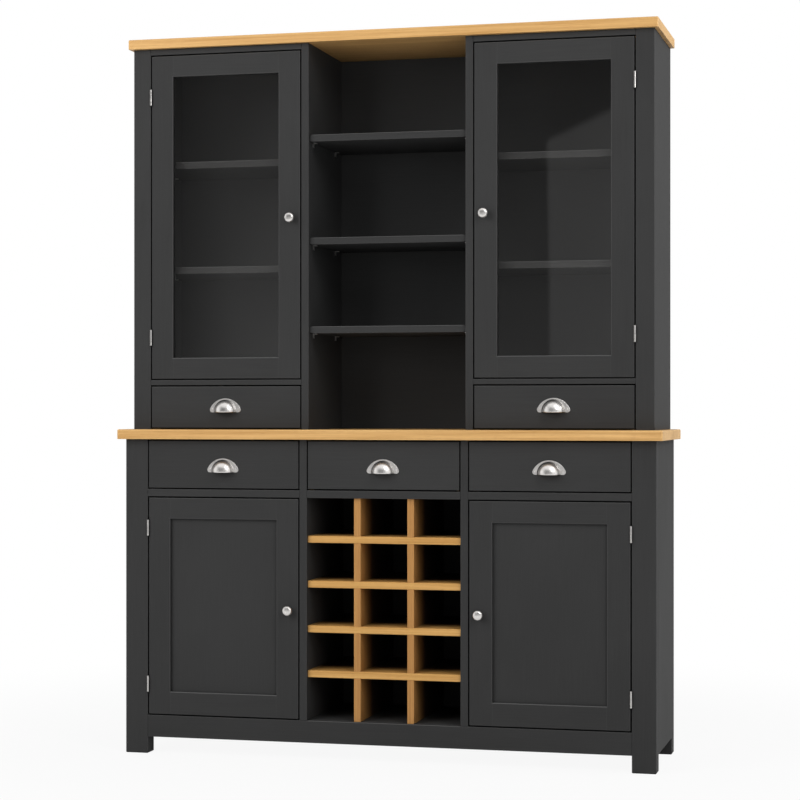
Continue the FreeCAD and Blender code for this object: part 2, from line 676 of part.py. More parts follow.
def hinge(name, side, opening_edge, plane, centre):
    """A lift-off hinge: the lower knuckle on the fixed leaf, the upper one on the door's, a pin in both."""
    pin_x, pin_y = f"{opening_edge} - reveal / 2", f"{plane} - pin_offset"
    pin_at = pin_x if side > 0 else f"-({pin_x})"
    height = (f"{centre} - hinge_height / 2", f"{centre} + hinge_height / 2")
    bore = rod(f"{name}_bore", "z", (pin_at, pin_y, height[0]), "hinge_height", "knuckle_bore")

    def leaf(label, edges, knuckle):
        """A plate on the wood's edge, with a tab that carries the knuckle."""
        width = span(side, *edges)
        plate = board(f"{name}_{label}_plate", width, (plane, f"{plane} + hinge_leaf_width"), height)
        tab = board(f"{name}_{label}_tab", width, (pin_y, plane), knuckle)
        tube = rod(f"{name}_{label}_tube", "z", (pin_at, pin_y, knuckle[0]),
                   "knuckle_length", "knuckle_radius")
        return cut(f"{name}_{label}", fused(f"{name}_{label}_blank", [plate, tab, tube]), [bore])

    fixed = leaf("fixed_leaf", (f"{opening_edge} - hinge_leaf_thickness", opening_edge),
                 (height[0], f"{height[0]} + knuckle_length"))
    door_edge = f"{opening_edge} - reveal"
    moving = leaf("door_leaf", (door_edge, f"{door_edge} + hinge_leaf_thickness"),
                  (f"{height[1]} - knuckle_length", height[1]))
    pin = rod(f"{name}_pin", "z", (pin_at, pin_y, height[0]), "hinge_height", "hinge_pin_radius")
    return fixed, moving, pin


def build_doors():
    """The panelled and the glazed doors, with their hinges, knobs and catches."""
    fixed_leaves, pins, catches = [], [], []
    rows = {
        "lower": (panel_door_frame, "bay_outer", "post_inner", "floor_top", "drawer_rail_bottom",
                  "front_face", "drawer_rail_bottom"),
        "upper": (glass_door_frame, "hutch_bay_outer", "stile_inner", "cabinet_floor_top",
                  "hutch_rail_bottom", "hutch_front", "hutch_head"),
    }
    for row, (frame, inner, outer, bottom, top, plane, catch_seat) in rows.items():
        low, high = f"{bottom} + reveal", f"{top} - reveal"
        inset = f"{row}_hinge_inset"
        for side_name, side in SIDES.items():
            name = f"{row}_{side_name}_door"
            frame(name, side, f"{inner} + reveal", f"{outer} - reveal", low, high, plane)
            door_leaves = []
            for place_name, centre in {"bottom": f"{low} + {inset}", "top": f"{high} - {inset}"}.items():
                fixed, moving, pin = hinge(f"{name}_{place_name}_hinge", side, outer, plane, centre)
                fixed_leaves.append(fixed)
                door_leaves.append(moving)
                pins.append(pin)
            node(f"{name}_hinge_leaves", door_leaves)
            knob_place = f"{inner} + reveal + knob_inset"
            knob(f"{name}_knob", knob_place if side > 0 else f"-({knob_place})", plane,
                 f"{low} + {row}_knob_rise")
            catch_from = f"{inner} + catch_inset"
            behind = f"{plane} + front_thickness + seat_gap"
            catches.append(board(f"{name}_catch", span(side, catch_from, f"{catch_from} + catch_width"),
                                 (behind, f"{behind} + catch_depth"),
                                 (f"{high} - catch_height", catch_seat)))
    node("hinge_fixed_leaves", fixed_leaves)
    node("hinge_pins", pins)
    node("door_catches", catches)


def check_model():
    """Stops with a plain message if anything failed to build."""
    failed = [item.Label for item in doc.Objects if {"Invalid", "Error"} & set(item.State)]
    bad = [part.Label for part in nodes if part.Shape.isNull() or not part.Shape.isValid()]
    if failed or bad:
        raise RuntimeError(f"failed objects: {failed}; bad shapes: {bad}")


sizes = fill_sheet("Sizes", {name: str(size) for name, size in SIZES.items()})
fill_sheet("Layout", {name: f"={formula(text)}" for name, text in LAYOUT.items()})
build_base()
build_rack()
build_hutch()
build_shelves()
build_drawers()
build_doors()
doc.recompute()
check_model()

os.makedirs("parts", exist_ok=True)
for part in nodes:
    part.Shape.exportStep(f"parts/{part.Label}.step")
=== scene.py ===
import json
import math
import random

import bmesh
import bpy
from mathutils import Matrix, Vector


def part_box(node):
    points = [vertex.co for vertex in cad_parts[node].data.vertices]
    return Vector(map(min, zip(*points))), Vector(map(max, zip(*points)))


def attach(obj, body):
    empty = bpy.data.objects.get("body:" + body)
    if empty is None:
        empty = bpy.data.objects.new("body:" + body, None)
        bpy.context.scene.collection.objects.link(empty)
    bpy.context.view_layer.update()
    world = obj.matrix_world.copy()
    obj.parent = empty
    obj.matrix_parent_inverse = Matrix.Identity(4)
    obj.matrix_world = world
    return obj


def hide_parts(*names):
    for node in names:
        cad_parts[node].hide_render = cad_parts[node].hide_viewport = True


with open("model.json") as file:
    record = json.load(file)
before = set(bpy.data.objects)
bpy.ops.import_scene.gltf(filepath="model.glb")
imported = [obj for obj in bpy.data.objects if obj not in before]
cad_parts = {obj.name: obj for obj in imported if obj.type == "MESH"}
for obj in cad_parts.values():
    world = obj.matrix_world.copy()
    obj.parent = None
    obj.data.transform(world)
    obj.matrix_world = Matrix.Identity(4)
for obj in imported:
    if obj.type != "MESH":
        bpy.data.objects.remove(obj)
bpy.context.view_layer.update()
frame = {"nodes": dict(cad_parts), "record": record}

# The looks of a painted kitchen dresser, around its CAD frame.
# X runs to the right, Y from front to back, Z up. The scene is in metres; the sizes of eased edges, knobs
# and pulls are named in millimetres.

MM = 0.001
NODES = frame["nodes"]
SLOT_OF = {row["node"]: row["material_slot"] for row in frame["record"]["subparts"]}
BODY_OF = {node: body for body, members in frame["record"]["behaviour"]["bodies"].items() for node in members}

# Limits that tell points, edges and faces apart
WELD = 1e-6
SAME = 1e-5
FLAT_TURN = math.radians(0.4)
SHARP_TURN = math.radians(40)
LENGTHWAYS = 0.9
END_SLOPE = 0.7

# Eased edges and joint lines, in millimetres
OAK_ROUND = 4.0
OAK_CORNER = 3.5
BOARD_EDGE = 1.3
FRONT_EDGE = 2.0
OPENING_EDGE = 2.2
THIN_EDGE = 0.5
END_EDGE = 0.4
JOINT_LINE = 0.9

# The strength of joint lines, the largest shift of a grain, the slabs' seed and the weight of large faces
JOINT_TONE = 0.7
GRAIN_SHIFT = 5
SLAB_SEED = 4
FACE_WEIGHT = 90


# Mesh helpers

def add_piece(name, bm, material, node):
    """Turns a bmesh into a smooth-shaded piece that stands for a CAD node and rides on its body."""
    mesh = bpy.data.meshes.new(name)
    bm.to_mesh(mesh)
    bm.free()
    mesh.shade_smooth()
    mesh.materials.append(material)
    piece = bpy.data.objects.new(name, mesh)
    bpy.context.scene.collection.objects.link(piece)
    normals = piece.modifiers.new("even_faces", "WEIGHTED_NORMAL")
    normals.weight = FACE_WEIGHT
    normals.keep_sharp = True
    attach(piece, BODY_OF[node])
    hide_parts(node)


def solids_of(node):
    """The separate solids of a CAD node, each a bmesh whose flat faces are whole."""
    whole = bmesh.new()
    whole.from_mesh(NODES[node].data)
    bmesh.ops.remove_doubles(whole, verts=whole.verts, dist=WELD)
    left = set(whole.faces)
    solids = []
    while left:
        todo = [next(face for face in whole.faces if face in left)]
        left.discard(todo[0])
        group = []
        while todo:
            face = todo.pop()
            group.append(face)
            for edge in face.edges:
                if len(edge.link_faces) == 2:
                    for other in edge.link_faces:
                        if other in left:
                            left.discard(other)
                            todo.append(other)
        solid = bmesh.new()
        copies = {}
        for face in group:
            for vert in face.verts:
                if vert not in copies:
                    copies[vert] = solid.verts.new(vert.co)
            solid.faces.new([copies[vert] for vert in face.verts])
        bmesh.ops.recalc_face_normals(solid, faces=solid.faces)
        bmesh.ops.dissolve_limit(solid, angle_limit=FLAT_TURN, verts=solid.verts, edges=solid.edges)
        solids.append(solid)
    whole.free()
    return solids


def box_of(solid):
    """The lowest and the highest corner of a bmesh."""
    return [Vector(pick(vert.co[axis] for vert in solid.verts) for axis in range(3)) for pick in (min, max)]


def joined(solids):
    """One bmesh made of several."""
    whole = bmesh.new()
    for solid in solids:
        mesh = bpy.data.meshes.new("part")
        solid.to_mesh(mesh)
        solid.free()
        whole.from_mesh(mesh)
        bpy.data.meshes.remove(mesh)
    return whole


def ease(solid, radius, steps=2, wanted=None, mark="edge"):
    """Rounds a solid's outer edges by a radius in millimetres, and marks the rounded faces."""
    marks = solid.faces.layers.float.get(mark) or solid.faces.layers.float.new(mark)
    edges = [edge for edge in solid.edges
             if len(edge.link_faces) == 2 and edge.calc_face_angle_signed() > SHARP_TURN
             and (wanted is None or wanted(edge))]
    if edges:
        made = bmesh.ops.bevel(solid, geom=edges, offset=radius * MM, offset_type="OFFSET", segments=steps,
                               profile=0.5, affect="EDGES", clamp_overlap=True)
        for face in made["faces"]:
            face[marks] = 1.0


def clean(solid):
    """Takes out the points and slivers that fell together while edges were rounded."""
    bmesh.ops.remove_doubles(solid, verts=solid.verts, dist=WELD)
    bmesh.ops.dissolve_degenerate(solid, edges=solid.edges, dist=WELD)


def grain_shift(draw):
    """A place in the wood, drawn by chance."""
    return Vector(draw.uniform(-GRAIN_SHIFT, GRAIN_SHIFT) for _ in range(3))


def lay_grain(solid, draw):
    """Gives each point its place along, across and through the board, and marks the board's ends."""
    layer = solid.verts.layers.float_vector.get("grain") or solid.verts.layers.float_vector.new("grain")
    ends = solid.faces.layers.float.get("end") or solid.faces.layers.float.new("end")
    low, high = box_of(solid)
    order = sorted(range(3), key=lambda axis: low[axis] - high[axis])
    shift = grain_shift(draw)
    for vert in solid.verts:
        vert[layer] = Vector(vert.co[axis] for axis in order) + shift
    solid.normal_update()
    for face in solid.faces:
        face[ends] = float(abs(face.normal[order[0]]) > END_SLOPE)


def strip(bm, rows, closed=False):
    """Faces between neighbouring rows of points, which are given row by row and step by step."""
    made = []
    for row, following in zip(rows, rows[1:]):
        for step in range(len(row) if closed else len(row) - 1):
            after = (step + 1) % len(row)
            made.append(bm.faces.new((row[step], row[after], following[after], following[step])))
    return made


def lathe(bm, profile, sides, place):
    """Turns a profile of (radius, height) points about the local Z axis."""
    rings = []
    for radius, height in profile:
        if radius == 0:
            rings.append([bm.verts.new(place @ Vector((0, 0, height)))])
        else:
            turns = (math.tau * step / sides for step in range(sides))
            spots = [Vector((radius * math.cos(turn), radius * math.sin(turn), height)) for turn in turns]
            rings.append([bm.verts.new(place @ spot) for spot in spots])
    for ring, following in zip(rings, rings[1:]):
        for step in range(sides):
            after = (step + 1) % sides
            corners = [ring[step % len(ring)], ring[after % len(ring)],
                       following[after % len(following)], following[step % len(following)]]
            bm.faces.new(dict.fromkeys(corners))


# Material helpers

class Shading:
    """The node tree of a material or a world, written as short calls."""

    def __init__(self, owner):
        self.owner = owner
        owner.use_nodes = True
        self.tree = owner.node_tree
        self.tree.nodes.clear()

    def add(self, kind, inputs=None, **settings):
        node = self.tree.nodes.new(f"ShaderNode{kind}")
        for key, value in settings.items():
            setattr(node, key, value)
        for key, value in (inputs or {}).items():
            if isinstance(value, bpy.types.NodeSocket):
                self.tree.links.new(value, node.inputs[key])
            else:
                node.inputs[key].default_value = value
        return node

    def math(self, operation, *values):
        return self.add("Math", dict(enumerate(values)), operation=operation).outputs[0]

    def vector(self, operation, first, second):
        return self.add("VectorMath", {0: first, 1: second}, operation=operation).outputs[0]

    def split(self, vector):
        return self.add("SeparateXYZ", {0: vector}).outputs

    def noise(self, where, scale, detail=3.0, rough=0.55, distortion=0.0):
        return self.add("TexNoise", {"Vector": where, "Scale": scale, "Detail": detail, "Roughness": rough,
                                     "Distortion": distortion}).outputs[0]

    def streaks(self, where, along, across, detail=3.0, rough=0.55, distortion=0.0):
        """Noise drawn out along a board, with so many waves to the metre along and across it."""
        stretched = self.vector("MULTIPLY", where, (along, across, across))
        return self.noise(stretched, 1.0, detail, rough, distortion)

    def level(self, value, low, high, to_low=0.0, to_high=1.0, smooth=False):
        """Moves a value from the range low to high into another range, where it stops at both ends."""
        return self.add("MapRange", {0: value, 1: low, 2: high, 3: to_low, 4: to_high},
                        interpolation_type="SMOOTHSTEP" if smooth else "LINEAR").outputs[0]

    def blend(self, share, first, second):
        return self.add("Mix", {0: share, 6: first, 7: second}, data_type="RGBA").outputs[2]

    def attribute(self, name, output="Fac"):
        return self.add("Attribute", attribute_name=name).outputs[output]

    def crevice(self, reach):
        """How open the surroundings are within reach: 1 in the open, towards 0 deep in a gap."""
        return self.add("AmbientOcclusion", {"Distance": reach}, samples=6).outputs["AO"]

    def bump(self, height, strength, distance):
        return self.add("Bump", {"Height": height, "Strength": strength, "Distance": distance}).outputs[0]

    def surface(self, **sockets):
        """A Principled shader whose sockets are named with underscores for spaces."""
        return self.add("BsdfPrincipled", {key.replace("_", " "): value for key, value in sockets.items()})

    def finish(self, shader, output="OutputMaterial"):
        self.tree.links.new(shader.outputs[0], self.add(output).inputs["Surface"])
        return self.owner


def new_material(name):
    return Shading(bpy.data.materials.new(name))


def grey(value, warm=0.0):
    return (value * (1 + warm), value, value * (1 - warm), 1)


# Materials

# The range that most of a noise lies in
NOISE_RANGE = (0.3, 0.7)


def make_paint():
    """Satin charcoal paint with faint strokes along each board, a painted highlight on eased edges, more on
    upward-facing ones, and painted shade in gaps and on the edges beside them.
    """
    deep, pale = grey(0.0185), grey(0.053)
    highlight_grey, gap_shade_grey = grey(0.115), grey(0.002)
    cloud_tone, stroke_tone, edge_and_lip_highlight, full_tone = 0.09, 0.07, 0.6, 0.6
    gap_reach = 0.012
    level_gap = 1.8
    stroke_rough = 0.03
    stroke_share, peel_share = 0.6, 0.4

    s = new_material("charcoal_paint_finish")
    where = s.attribute("grain", "Vector")
    edge = s.attribute("edge")
    thin = s.math("MAXIMUM", edge, s.attribute("lip"))
    upward = s.split(s.add("NewGeometry").outputs["Normal"])[2]
    cloud = s.noise(where, scale=2.2, detail=4)
    strokes = s.streaks(where, along=9, across=420)
    peel = s.noise(where, scale=850, detail=2, rough=0.5)

    tone = s.math("ADD", s.level(cloud, *NOISE_RANGE, -cloud_tone, cloud_tone),
                  s.level(strokes, 0.35, 0.65, -stroke_tone, stroke_tone))
    # Painted highlight: eased edges and the openings' lips are made paler, standing for light on them.
    tone = s.math("ADD", tone, s.math("MULTIPLY", thin, edge_and_lip_highlight))
    colour = s.blend(s.level(tone, -full_tone, full_tone), deep, pale)
    # Painted highlight: upward-facing eased edges are paler still, standing for light from above.
    upward_highlight = s.math("MULTIPLY", thin, s.level(upward, 0.1, 0.7))
    colour = s.blend(upward_highlight, colour, highlight_grey)

    # Painted shade: near-black deep in gaps, found by ambient occlusion, and on eased edges beside gaps, most
    # beside horizontal ones.
    crevice = s.crevice(gap_reach)
    gap = s.level(crevice, 0.08, 0.4, 0.97, 0.0)
    flatness = s.level(s.math("ABSOLUTE", upward), 0, 1, 1.0, level_gap)
    shut = s.math("MULTIPLY", s.math("SUBTRACT", 1.0, crevice), flatness)
    gap_edge_shade = s.math("MULTIPLY", edge, s.level(shut, 0.02, 0.45, 0.0, 0.98))
    colour = s.blend(s.math("MAXIMUM", gap, gap_edge_shade), colour, gap_shade_grey)

    rough = s.math("ADD", s.level(cloud, *NOISE_RANGE, 0.56, 0.64),
                   s.level(strokes, *NOISE_RANGE, -stroke_rough, stroke_rough))
    height = s.math("ADD", s.math("MULTIPLY", strokes, stroke_share), s.math("MULTIPLY", peel, peel_share))
    return s.finish(s.surface(Base_Color=colour, Roughness=rough, Specular_IOR_Level=0.12,
                              Normal=s.bump(height, strength=0.18, distance=0.0004)))


def make_wood(name, dark, light, pore, stave=0.0, contrast=1.0, end_highlight=0.0, depth_shade=None):
    """Planed wood: growth rings and streaks that wander along the board, and pores. End faces are shifted in
    tone by end_highlight and eased edges are made paler, both painted highlights.

    With stave the board is glued up from strips of that width. With depth_shade, a pair of places from front
    to back, it darkens from the first to the second, as painted shade deep in the rack."""
    edge_highlight_tone, stave_tone, wander_tone, fine_tone, full_tone = 0.3, 0.14, 0.2, 0.16, 0.75
    ring_tone, streak_tone = 0.34 * contrast, 0.3 * contrast
    pore_share, grain_height, pore_depth = 0.45, 0.5, 0.6
    stave_shift = (3, 3, 3)
    depth_shade_brown = (0.022, 0.013, 0.008, 1)

    s = new_material(name)
    where = s.attribute("grain", "Vector")
    # Painted highlights: end faces and eased edges are made paler, standing for light on them. The staves'
    # random tone joins the same sum.
    shade = s.math("MULTIPLY", s.attribute("end"), end_highlight)
    shade = s.math("ADD", shade, s.math("MULTIPLY", s.attribute("edge"), edge_highlight_tone))
    if stave:
        number = s.math("FLOOR", s.math("DIVIDE", s.split(where)[1], stave))
        own = s.add("TexWhiteNoise", {"W": number}, noise_dimensions="1D")
        where = s.vector("ADD", where, s.vector("MULTIPLY", own.outputs[1], stave_shift))
        shade = s.math("ADD", shade, s.level(own.outputs[0], 0, 1, -stave_tone, stave_tone))

    wander = s.streaks(where, along=1.1, across=9, detail=2)
    rings = s.streaks(where, along=1.6, across=75, detail=4, rough=0.6, distortion=0.5)
    streak = s.streaks(where, along=3.2, across=210, detail=3, rough=0.6, distortion=0.3)
    fine = s.streaks(where, along=7, across=620, detail=3, rough=0.6)
    fleck = s.streaks(where, along=42, across=1500, detail=2, rough=0.5)
    tone = s.math("ADD", s.level(rings, 0.32, 0.68, -ring_tone, ring_tone),
                  s.level(streak, 0.34, 0.66, -streak_tone, streak_tone))
    tone = s.math("ADD", tone, s.level(fine, *NOISE_RANGE, -fine_tone, fine_tone))
    tone = s.math("ADD", tone, s.level(wander, *NOISE_RANGE, -wander_tone, wander_tone))
    tone = s.math("ADD", tone, shade)
    colour = s.blend(s.level(tone, -full_tone, full_tone), dark, light)

    pores = s.level(fleck, 0.6, 0.72)
    colour = s.blend(s.math("MULTIPLY", pores, pore_share), colour, pore)
    # Painted shade: the rack's boards darken from front to back, where shade falls deep in the rack.
    if depth_shade:
        depth = s.split(s.add("TexCoord").outputs["Object"])[1]
        colour = s.blend(s.level(depth, *depth_shade), colour, depth_shade_brown)
    rough = s.level(fine, *NOISE_RANGE, 0.38, 0.52)
    height = s.math("SUBTRACT", s.math("MULTIPLY", fine, grain_height), s.math("MULTIPLY", pores, pore_depth))
    return s.finish(s.surface(Base_Color=colour, Roughness=rough, Specular_IOR_Level=0.4,
                              Normal=s.bump(height, strength=0.25, distance=0.0003)))


def make_nickel(name, dark, light, crevice_shade=0.0):
    """Satin nickel with fine brush marks and a slight cloudiness, darker where faces are marked as hollow, as
    painted shade and reflection.

    With crevice_shade it is also darkened in crevices, as painted shade."""
    warm = 0.03
    brush_waves = (350, 350, 5200)
    crevice_shade_reach = 0.006
    crevice_shade_grey, hollow_shade_grey = grey(0.03), grey(0.02, 0.06)
    hollow_shade_share, hollow_rough = 0.93, 0.3
    cloud_rough = 0.03

    s = new_material(name)
    where = s.add("TexCoord").outputs["Object"]
    brush = s.noise(s.vector("MULTIPLY", where, brush_waves), scale=1.0)
    cloud = s.noise(where, scale=60)
    hollow = s.attribute("hollow")
    colour = s.blend(s.level(cloud, *NOISE_RANGE), grey(dark, warm), grey(light, warm))
    # Painted shade: darker in crevices, found by ambient occlusion.
    if crevice_shade:
        colour = s.blend(s.level(s.crevice(crevice_shade_reach), 0.87, 1.0, crevice_shade, 0.0), colour, crevice_shade_grey)
    # Painted shade and reflection on the faces marked as hollow, near a pull's plate.
    colour = s.blend(s.math("MULTIPLY", hollow, hollow_shade_share), colour, hollow_shade_grey)
    rough = s.math("ADD", s.level(brush, *NOISE_RANGE, 0.28, 0.38),
                   s.level(cloud, *NOISE_RANGE, -cloud_rough, cloud_rough))
    rough = s.math("ADD", rough, s.math("MULTIPLY", hollow, hollow_rough))
    return s.finish(s.surface(Base_Color=colour, Metallic=1.0, Roughness=rough,
                              Normal=s.bump(brush, strength=0.06, distance=0.0002)))


def make_glass():
    """Clear float glass: it mirrors a little, more at a slant, and lets the rest straight through."""
    mirrored_head_on = 0.04
    tint = (0.97, 0.967, 0.962, 1)

    s = new_material("clear_glass")
    where = s.add("TexCoord").outputs["Object"]
    wave = s.bump(s.noise(where, scale=3, detail=1), strength=0.008, distance=0.001)
    slant = s.add("LayerWeight", {"Blend": 0.5}).outputs["Facing"]
    mirror = s.math("MULTIPLY_ADD", s.math("POWER", slant, 5.0), 1 - mirrored_head_on, mirrored_head_on)
    clear = s.add("BsdfTransparent", {"Color": tint})
    shine = s.add("BsdfGlossy", {"Color": grey(1.0), "Roughness": 0.0, "Normal": wave})
    return s.finish(s.add("MixShader", {0: mirror, 1: clear.outputs[0], 2: shine.outputs[0]}))


def make_plastic():
    """Matt black moulded plastic with a fine grain."""
    s = new_material("catch_black")
    where = s.add("TexCoord").outputs["Object"]
    grain = s.noise(where, scale=1600, detail=2)
    cloud = s.noise(where, scale=90, detail=2)
    colour = s.blend(s.level(cloud, *NOISE_RANGE), grey(0.016), grey(0.028))
    return s.finish(s.surface(Base_Color=colour, Roughness=s.level(grain, *NOISE_RANGE, 0.5, 0.62),
                              Normal=s.bump(grain, strength=0.3, distance=0.0002)))


# In metres: the width of an oak stave, and how far behind the rack's front the painted shade starts and is
# full
STAVE_WIDTH = 0.072
DEPTH_SHADE_START = 0.008
DEPTH_SHADE_FULL = 0.12

rack_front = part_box("rack_shelves")[0].y
rack_depth_shade = (rack_front + DEPTH_SHADE_START, rack_front + DEPTH_SHADE_FULL)

paint = make_paint()
oak_boards = make_wood("oak_staves", (0.455, 0.232, 0.066, 1), (0.735, 0.455, 0.182, 1),
                       (0.32, 0.146, 0.044, 1), stave=STAVE_WIDTH, end_highlight=0.45)
oak_strips = make_wood("oak_strips", (0.45, 0.221, 0.055, 1), (0.7, 0.41, 0.132, 1),
                       (0.3, 0.135, 0.038, 1), depth_shade=rack_depth_shade)
# The uprights take a darker copy of the strips' oak, as painted shade on the dividers.
oak_uprights = make_wood("oak_uprights", (0.34, 0.152, 0.04, 1), (0.535, 0.276, 0.087, 1),
                         (0.23, 0.1, 0.028, 1), depth_shade=rack_depth_shade)
birch = make_wood("pale_drawer_wood", (0.5, 0.36, 0.21, 1), (0.68, 0.53, 0.35, 1),
                  (0.42, 0.29, 0.16, 1), contrast=0.7)
nickel = make_nickel("satin_nickel", 0.75, 0.89)
hinge_nickel = make_nickel("hinge_nickel", 0.58, 0.7, crevice_shade=0.95)
glass = make_glass()
plastic = make_plastic()


# Boards

def make_slab(node, material):
    """A thick oak board: rounded front corners and upper edges, and its other edges eased."""
    low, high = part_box(node)
    slab = bmesh.new()
    place = Matrix.Translation((low + high) / 2) @ Matrix.Diagonal((*(high - low), 1))
    bmesh.ops.create_cube(slab, size=1.0, matrix=place)

    def front_corner(edge):
        run = edge.verts[1].co - edge.verts[0].co
        return abs(run.z) > SAME and edge.verts[0].co.y < low.y + SAME

    def upper(edge):
        on_top = all(vert.co.z > high.z - SAME for vert in edge.verts)
        return on_top and min(vert.co.y for vert in edge.verts) < high.y - SAME

    ease(slab, OAK_CORNER, 4, front_corner)
    ease(slab, OAK_ROUND, 5, upper)
    ease(slab, BOARD_EDGE)
    clean(slab)
    lay_grain(slab, random.Random(f"{node} {SLAB_SEED}"))
    add_piece(f"{node}_board", slab, material, node)


def dress(node, material, radius, end_radius=END_EDGE):
    """Stands in for a CAD node with the same boards: long edges and ends eased, and their grain laid."""
    draw = random.Random(node)
    solids = solids_of(node)
    for solid in solids:
        low, high = box_of(solid)
        length = max(range(3), key=lambda axis: high[axis] - low[axis])

        def runs_along(edge):
            run = edge.verts[1].co - edge.verts[0].co
            return abs(run[length]) > LENGTHWAYS * run.length

        ease(solid, radius, 2, runs_along)
        ease(solid, end_radius, 1)
        clean(solid)
        lay_grain(solid, draw)
    add_piece(f"{node}_eased", joined(solids), material, node)


def frame_opening(node):
    """The left, right, lower and upper edge of a door frame's opening, between its stiles and rails."""
    low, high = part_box(node)
    boxes = []
    for solid in solids_of(node):
        boxes.append(box_of(solid))
        solid.free()
    stiles = [pair for pair in boxes if pair[1].z - pair[0].z > LENGTHWAYS * (high.z - low.z)]
    rails = [pair for pair in boxes if pair not in stiles]
    left, right = min(pair[1].x for pair in stiles), max(pair[0].x for pair in stiles)
    bottom, top = min(pair[1].z for pair in rails), max(pair[0].z for pair in rails)
    return left, right, bottom, top


def frame_section(node, opening):
    """The rectangles that a door frame's section passes through, each with its place from front to back."""
    low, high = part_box(node)
    outside = (low.x, high.x, low.z, high.z)
    door = node.removesuffix("frame")
    section = [(outside, low.y), (opening, low.y)]
    if f"{door}beads" in NODES:
        first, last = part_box(f"{door}beads")
        rebate = (first.x, last.x, first.z, last.z)
        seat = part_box(f"{door}glass")[0].y
        section += [(opening, seat), (rebate, seat), (rebate, high.y)]
    else:
        section.append((opening, high.y))
    section.append((outside, high.y))
    return section


def lay_frame_grain(bm, opening, draw):
    """Lays the grain along each stile and rail, and marks the joint lines at the rails' ends."""
    left, right, bottom, top = opening
    joint = JOINT_LINE * MM
    lips = bm.faces.layers.float.get("lip")
    grain = bm.loops.layers.float_vector.new("grain")
    shifts = {board: grain_shift(draw) for board in ("left", "right", "bottom", "top")}
    for face in bm.faces:
        centre = face.calc_center_median()
        upright = not left + SAME < centre.x < right - SAME
        if upright:
            board = "left" if centre.x < (left + right) / 2 else "right"
        else:
            board = "bottom" if centre.z < (bottom + top) / 2 else "top"
            if not left + joint < centre.x < right - joint:
                face[lips] = max(face[lips], JOINT_TONE)
        for corner in face.loops:
            x, y, z = corner.vert.co
            corner[grain] = Vector((z, x, y) if upright else (x, z, y)) + shifts[board]


def make_door_frame(node, material):
    """A door frame whose stiles run through: eased inside and outside, and rebated where it holds glass."""
    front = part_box(node)[0].y
    opening = frame_opening(node)
    left, right = opening[:2]
    bm = bmesh.new()
    rings = [[bm.verts.new((x, y, z)) for x, z in ((x0, z0), (x1, z0), (x1, z1), (x0, z1))]
             for (x0, x1, z0, z1), y in frame_section(node, opening)]
    strip(bm, rings + rings[:1], closed=True)
    bmesh.ops.recalc_face_normals(bm, faces=bm.faces)

    def in_front(edge):
        return all(vert.co.y < front + SAME for vert in edge.verts)

    def round_opening(edge):
        return in_front(edge) and all(left - SAME < vert.co.x < right + SAME for vert in edge.verts)

    ease(bm, OPENING_EDGE, 3, round_opening, "lip")
    ease(bm, FRONT_EDGE, 3, in_front)
    ease(bm, END_EDGE, 1)
    clean(bm)
    joint = JOINT_LINE * MM
    for x in (left, left + joint, right - joint, right):
        everything = bm.verts[:] + bm.edges[:] + bm.faces[:]
        bmesh.ops.bisect_plane(bm, geom=everything, dist=WELD, plane_co=(x, 0, 0), plane_no=(1, 0, 0))
    lay_frame_grain(bm, opening, random.Random(node))
    add_piece(f"{node}_eased", bm, material, node)


for node in ("worktop", "hutch_top"):
    make_slab(node, oak_boards)

for node in sorted(NODES):
    slot = SLOT_OF[node]
    if node.endswith("_frame"):
        make_door_frame(node, paint)
    elif node.endswith("_front"):
        dress(node, paint, FRONT_EDGE, FRONT_EDGE)
    elif slot == "charcoal_paint" and node.endswith(("back", "panel", "beads")):
        dress(node, paint, THIN_EDGE)
    elif slot == "charcoal_paint":
        dress(node, paint, BOARD_EDGE)
    elif slot == "drawer_wood":
        dress(node, birch, THIN_EDGE)
    elif node == "rack_dividers":
        dress(node, oak_uprights, BOARD_EDGE)
    elif node == "rack_shelves":
        dress(node, oak_strips, BOARD_EDGE)
    elif slot == "catch_plastic":
        dress(node, plastic, THIN_EDGE)
    elif slot == "glass":
        NODES[node].data.materials[0] = glass
    elif slot == "nickel":
        NODES[node].data.materials[0] = hinge_nickel if "hinge" in node else nickel


# Knobs

# In millimetres, apart from counts and the crown's power. The foot and neck have points of (radius, height),
# the rim has points of (inset, height).
KNOB_FOOT = ((0.0, 0.0), (7.6, 0.0), (7.9, 0.5), (7.6, 1.4), (6.2, 2.6), (5.2, 4.5), (4.9, 7.0), (5.2, 9.5),
             (6.4, 11.6), (8.6, 13.0), (11.0, 13.8))
KNOB_RIM = ((0.7, 14.6), (0.0, 16.0), (0.25, 17.2))
CROWN_INSET = 0.9
CROWN_START = 17.9
CROWN_STEPS = 10
CROWN_POWER = 0.84
KNOB_SIDES = 48


def make_knob(node):
    """A turned knob: a flared foot, a slim neck and a domed head."""
    low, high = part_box(node)
    centre = Vector(((low.x + high.x) / 2, high.y, (low.z + high.z) / 2))
    top = (high.y - low.y) / MM
    widest = (high.x - low.x) / 2 / MM
    rim = [(widest - inset, height) for inset, height in KNOB_RIM]
    turns = (step * math.pi / 2 / CROWN_STEPS for step in range(CROWN_STEPS))
    crown = [((widest - CROWN_INSET) * math.cos(turn) ** CROWN_POWER,
              CROWN_START + (top - CROWN_START) * math.sin(turn) ** CROWN_POWER) for turn in turns]
    bm = bmesh.new()
    place = Matrix.Translation(centre) @ Matrix.Rotation(math.radians(90), 4, "X") @ Matrix.Scale(MM, 4)
    lathe(bm, [*KNOB_FOOT, *rim, *crown, (0.0, top)], KNOB_SIDES, place)
    bmesh.ops.recalc_face_normals(bm, faces=bm.faces)
    add_piece(f"{node}_turned", bm, nickel, node)


# Cup pulls

